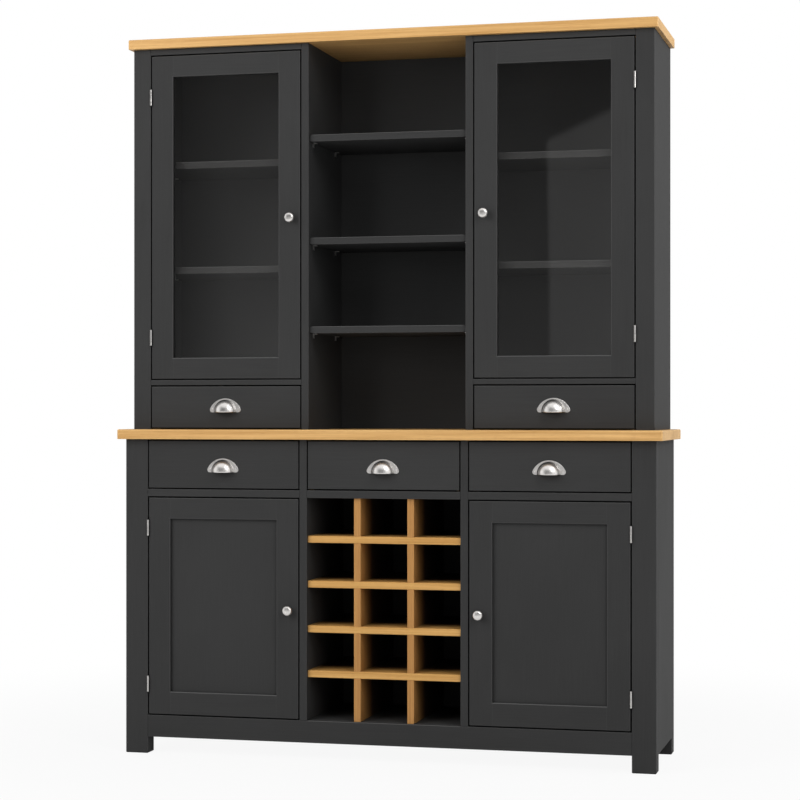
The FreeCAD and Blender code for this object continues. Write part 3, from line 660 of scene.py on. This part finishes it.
# In millimetres, apart from counts and the focus, which is a share of the height. The plate's rim has points
# of (inset, depth), the cove points of (how much wider than the cup, depth), the screw of (radius, height).
EAR = 7.0
ARC_STEPS = 40
EAR_STEPS = 10
PLATE = ((0.0, 0.0), (0.0, 1.1), (0.35, 1.75), (1.1, 2.2))
PLATE_FOCUS = 0.36
CUP_HALF = 29.3
CUP_HEIGHT = 31.6
CUP_RISE = 3.0
CUP_WALL = 1.7
CUP_ROWS = 20
CUP_STEPS = 36
LIP = 0.5
LIP_HEIGHT = 2.4
COVE = ((1.9, 1.4), (1.9, 2.25), (0.9, 2.5), (0.2, 3.4), (-0.6, 5.0), (-1.2, 5.0), (-1.2, 1.4))
SCREW = ((0.0, 0.0), (2.6, 0.0), (2.45, 0.45), (1.9, 0.8), (1.0, 0.95), (0.7, 0.5), (0.0, 0.45))
SCREW_PLACE = (35.6, 2.1, 8.6)
SCREW_SIDES = 20

# Painted shade and reflection near the plate: where on the reach it ends and over how much of the reach it
# fades, as shares, and how much of it is missing at the lit right end of the cup and of the cove
PAINTED_SHADE_END = 0.45
PAINTED_SHADE_FADE = 0.1
CUP_LIT_END = 0.8
COVE_LIT_END = 0.6


def pull_outline(width, height):
    """The plate: a round segment on a straight lower edge, whose two lower corners are round ears."""
    reach = width / 2 - EAR
    radius = (reach ** 2 + (height - EAR) ** 2 - EAR ** 2) / (2 * (height - 2 * EAR))
    centre = height - radius
    lean = math.atan2(EAR - centre, reach)
    arc_turns = (lean + (math.pi - 2 * lean) * step / ARC_STEPS for step in range(ARC_STEPS + 1))
    arc = [(radius * math.cos(turn), centre + radius * math.sin(turn)) for turn in arc_turns]
    ear_turns = (math.pi - lean + (math.pi / 2 + lean) * step / EAR_STEPS for step in range(1, EAR_STEPS + 1))
    left = [(-reach + EAR * math.cos(turn), EAR + EAR * math.sin(turn)) for turn in ear_turns]
    right = [(-x, z) for x, z in reversed(left)]
    return [Vector(spot) for spot in arc + left + right]


def add_plate(bm, place, width, height):
    """The flat plate behind the cup, with a rounded rim."""
    focus = Vector((0, height * PLATE_FOCUS))
    rows = []
    for inset, depth in PLATE:
        spots = [spot + (focus - spot).normalized() * inset for spot in pull_outline(width, height)]
        rows.append([bm.verts.new(place @ Vector((spot.x, depth, spot.y))) for spot in spots])
    strip(bm, rows, closed=True)
    bm.faces.new(rows[0][::-1])
    bm.faces.new(rows[-1])


def cup_face(bm, place, reach, shrink, lip):
    """Rows of points on the cup's outer or inner face, from its open lower edge to its top."""
    half, deep, tall = CUP_HALF - shrink, reach - LIP - shrink, CUP_HEIGHT - CUP_RISE - shrink
    start = -math.asin(CUP_RISE / tall)
    rows = []
    for row in range(CUP_ROWS + 1):
        climb = start + (math.pi / 2 - start) * row / CUP_ROWS
        up = CUP_RISE + tall * math.sin(climb)
        flare = lip * max(0.0, 1 - (up / LIP_HEIGHT) ** 2)
        wide, far = half * math.cos(climb) + flare, deep * math.cos(climb) + flare
        turns = (math.pi * step / CUP_STEPS for step in range(CUP_STEPS + 1))
        spots = [Vector((wide * math.cos(turn), far * math.sin(turn), up)) for turn in turns]
        rows.append([bm.verts.new(place @ spot) for spot in spots])
    return rows


def add_cup(bm, place, reach, painted_shade):
    """The hollow cup, open below and behind, darkened towards the plate with painted shade and reflection."""
    outside = cup_face(bm, place, reach, 0.0, LIP)
    inside = cup_face(bm, place, reach, CUP_WALL, 0.0)
    # Painted shade and reflection on the cup's outer face: darker near the plate, less at the lit right end.
    for face in strip(bm, outside):
        spot = place.inverted() @ face.calc_center_median()
        dark = max(0.0, min(1.0, (PAINTED_SHADE_END - spot.y / reach) / PAINTED_SHADE_FADE))
        face[painted_shade] = dark * (1 - CUP_LIT_END * max(0.0, spot.x / CUP_HALF))
    strip(bm, inside)
    strip(bm, [outside[0], inside[0]])
    for end in (0, -1):
        strip(bm, [[row[end] for row in outside], [row[end] for row in inside]])


def add_cove(bm, place, painted_shade):
    """The hollow moulding where the cup meets the plate, darkened with painted shade and reflection, less at
    its right end.
    """
    rows = []
    for wider, depth in COVE:
        half, tall = CUP_HALF + wider, CUP_HEIGHT - CUP_RISE + wider
        start = -math.asin(CUP_RISE / tall)
        turns = (start + (math.pi - 2 * start) * step / CUP_STEPS for step in range(CUP_STEPS + 1))
        spots = [Vector((half * math.cos(turn), depth, CUP_RISE + tall * math.sin(turn))) for turn in turns]
        rows.append([bm.verts.new(place @ spot) for spot in spots])
    for face in strip(bm, rows + rows[:1]):
        spot = place.inverted() @ face.calc_center_median()
        face[painted_shade] = 1 - COVE_LIT_END * max(0.0, spot.x / CUP_HALF)
    bm.faces.new([row[0] for row in rows])
    bm.faces.new([row[-1] for row in reversed(rows)])


def make_pull(node):
    """A cup pull: a half-round plate with two screws and a hollow cup that is open below."""
    low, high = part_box(node)
    centre = Vector(((low.x + high.x) / 2, high.y, low.z))
    width, reach, height = (size / MM for size in high - low)
    place = Matrix.Translation(centre) @ Matrix.Diagonal((MM, -MM, MM, 1))
    bm = bmesh.new()
    painted_shade = bm.faces.layers.float.new("hollow")
    add_plate(bm, place, width, height)
    add_cup(bm, place, reach, painted_shade)
    add_cove(bm, place, painted_shade)
    for side in (-1, 1):
        x, y, z = SCREW_PLACE
        spot = place @ Matrix.Translation((side * x, y, z)) @ Matrix.Rotation(math.radians(-90), 4, "X")
        lathe(bm, SCREW, SCREW_SIDES, spot)
    bmesh.ops.remove_doubles(bm, verts=bm.verts, dist=WELD)
    bmesh.ops.recalc_face_normals(bm, faces=bm.faces)
    add_piece(f"{node}_cup", bm, nickel, node)


for node in sorted(NODES):
    if node.endswith("_knob"):
        make_knob(node)
    elif node.endswith("_pull"):
        make_pull(node)


# Floor

# Its size and where it fades, in metres from the middle, and how white, pale and speckled it is
FLOOR_RADIUS = 60
FLOOR_SIDES = 96
NEAR = 0.9
FAR = 2.4
WHITE_NEAR = 0.92
MIRRORED_WHITE = 0.4
MATT_NEAR = 0.62
MATT_FAR = 0.86
SPECK = 0.02


def make_floor_material():
    """A pale floor with a light shadow near the dresser, which fades into the white background."""
    s = new_material("studio_floor")
    where = s.add("NewGeometry").outputs["Position"]
    spread = s.add("VectorMath", {0: where}, operation="LENGTH").outputs["Value"]
    path = s.add("LightPath").outputs
    seen = s.math("MAXIMUM", path["Is Camera Ray"], path["Is Transmission Ray"])
    seen = s.math("MAXIMUM", seen, s.math("MULTIPLY", path["Is Glossy Ray"], MIRRORED_WHITE))
    share = s.math("MULTIPLY", s.level(spread, NEAR, FAR, WHITE_NEAR, 1.0, smooth=True), seen)
    speck = s.level(s.noise(where, scale=40, detail=2), *NOISE_RANGE, -SPECK, SPECK)
    pale = s.math("ADD", s.level(spread, NEAR, FAR, MATT_NEAR, MATT_FAR), speck)
    matt = s.add("BsdfDiffuse", {"Color": pale})
    white = s.add("Emission", {"Color": grey(1.0), "Strength": 1.0})
    return s.finish(s.add("MixShader", {0: share, 1: matt.outputs[0], 2: white.outputs[0]}))


def make_floor():
    """A wide round floor at the dresser's feet."""
    bm = bmesh.new()
    bmesh.ops.create_circle(bm, cap_ends=True, segments=FLOOR_SIDES, radius=FLOOR_RADIUS)
    mesh = bpy.data.meshes.new("floor")
    bm.to_mesh(mesh)
    bm.free()
    mesh.materials.append(make_floor_material())
    floor = bpy.data.objects.new("floor", mesh)
    bpy.context.scene.collection.objects.link(floor)


make_floor()


# Surroundings

# Where each change starts and ends along an axis of the direction looked in, and how bright things are
BEHIND = (-0.1, 0.4)
BESIDE = (0.5, 0.8)
ABOVE = (0.35, 0.75)
AHEAD = (-0.95, -0.8)

FILL = 0.1
FILL_BEHIND = 0.48
FILL_ABOVE = 0.05
FILL_AHEAD = 0.35

MIRRORED_BEHIND = 0.5
ROOM_RISE = (0.02, 0.16)
ROOM_GLOW = (0.22, 0.09)
RIGHT_PATCH_START = (-0.178, -0.1755)
RIGHT_PATCH_TOP = (0.205, 0.209)
RIGHT_PATCH_SLANT = 0.46
RIGHT_PATCH_GLOW = 0.24
LEFT_PATCH_START = (-0.341, -0.321)
LEFT_PATCH_END = (-0.27, -0.22)
LEFT_PATCH_RISE = (0.03, 0.16)
LEFT_PATCH_GLOW = (0.22, 0.06)


def make_world():
    """White to the camera, and other surroundings for mirrored and for scattered light.

    Metal and glass mirror white at the sides and above, half as much behind, and a dim room in front with a
    paler patch for each pane. Matt faces get a soft fill, mostly from behind and from straight in front."""
    s = Shading(bpy.data.worlds.new("studio"))
    across, back, up = s.split(s.add("TexCoord").outputs["Generated"])
    behind = s.level(back, *BEHIND)
    beside = s.level(s.math("ABSOLUTE", across), *BESIDE)
    above = s.level(up, *ABOVE)

    room = s.level(up, *ROOM_RISE, *ROOM_GLOW)
    slope = s.math("SUBTRACT", up, s.math("MULTIPLY", across, RIGHT_PATCH_SLANT))
    right = s.math("MULTIPLY", s.level(across, *RIGHT_PATCH_START),
                   s.level(slope, *RIGHT_PATCH_TOP, RIGHT_PATCH_GLOW, 0.0))
    left = s.math("MULTIPLY", s.level(across, *LEFT_PATCH_START), s.level(across, *LEFT_PATCH_END, 1.0, 0.0))
    left = s.math("MULTIPLY", left, s.level(up, *LEFT_PATCH_RISE, *LEFT_PATCH_GLOW))
    room = s.math("ADD", room, s.math("MAXIMUM", left, right))
    bright = s.math("MAXIMUM", s.math("MAXIMUM", beside, above), s.math("MULTIPLY", behind, MIRRORED_BEHIND))
    mirrored = s.math("MAXIMUM", room, bright)

    fill = s.math("ADD", s.level(behind, 0, 1, FILL, FILL_BEHIND), s.level(above, 0, 1, 0.0, FILL_ABOVE))
    fill = s.math("ADD", fill, s.level(back, *AHEAD, FILL_AHEAD, 0.0))

    path = s.add("LightPath").outputs
    glossy = path["Is Glossy Ray"]
    light = s.math("ADD", s.math("MULTIPLY", glossy, mirrored),
                   s.math("MULTIPLY", s.math("SUBTRACT", 1.0, glossy), fill))
    seen = s.math("MAXIMUM", path["Is Camera Ray"], path["Is Transmission Ray"])
    background = s.add("Background", {"Color": grey(1.0), "Strength": s.math("MAXIMUM", light, seen)})
    bpy.context.scene.world = s.finish(background, "OutputWorld")


make_world()


# Lamps

def add_lamp(name, place, aim, size, power, mirrored=True):
    """A soft rectangular lamp, which metal and glass show if it is mirrored."""
    data = bpy.data.lights.new(name, "AREA")
    data.shape = "RECTANGLE"
    data.size, data.size_y = size
    data.energy = power
    lamp = bpy.data.objects.new(name, data)
    lamp.location = place
    lamp.rotation_euler = (Vector(aim) - Vector(place)).to_track_quat("-Z", "Y").to_euler()
    lamp.visible_glossy = mirrored
    bpy.context.scene.collection.objects.link(lamp)


add_lamp("soft_left", place=(-2.4, -3.2, 2.6), aim=(-0.3, 0, 1.2), size=(3.0, 3.0), power=131, mirrored=False)
add_lamp("low_right", place=(2.2, -3.0, 1.5), aim=(0.0, 0, 1.2), size=(1.0, 1.0), power=17, mirrored=False)
add_lamp("key_right", place=(2.5, -2.5, 3.4), aim=(0.3, 0, 1.2), size=(1.2, 2.4), power=51)
add_lamp("side_light", place=(3.1, 0.3, 2.3), aim=(0.72, 0, 1.3), size=(1.0, 1.0), power=36)


# Camera

CAMERA_PLACE = (1.390, -5.4717, 0.9107)
CAMERA_TURN = 14.22
CAMERA_LENS = 95.6
CAMERA_SENSOR = 36
CAMERA_SHIFT = 0.01275

camera_data = bpy.data.cameras.new("camera")
camera_data.lens = CAMERA_LENS
camera_data.sensor_width = CAMERA_SENSOR
camera_data.shift_y = CAMERA_SHIFT
camera = bpy.data.objects.new("camera", camera_data)
camera.location = CAMERA_PLACE
camera.rotation_euler = (math.radians(90), 0, math.radians(CAMERA_TURN))
bpy.context.scene.collection.objects.link(camera)
bpy.context.scene.camera = camera

bpy.context.scene.view_settings.view_transform = "Standard"
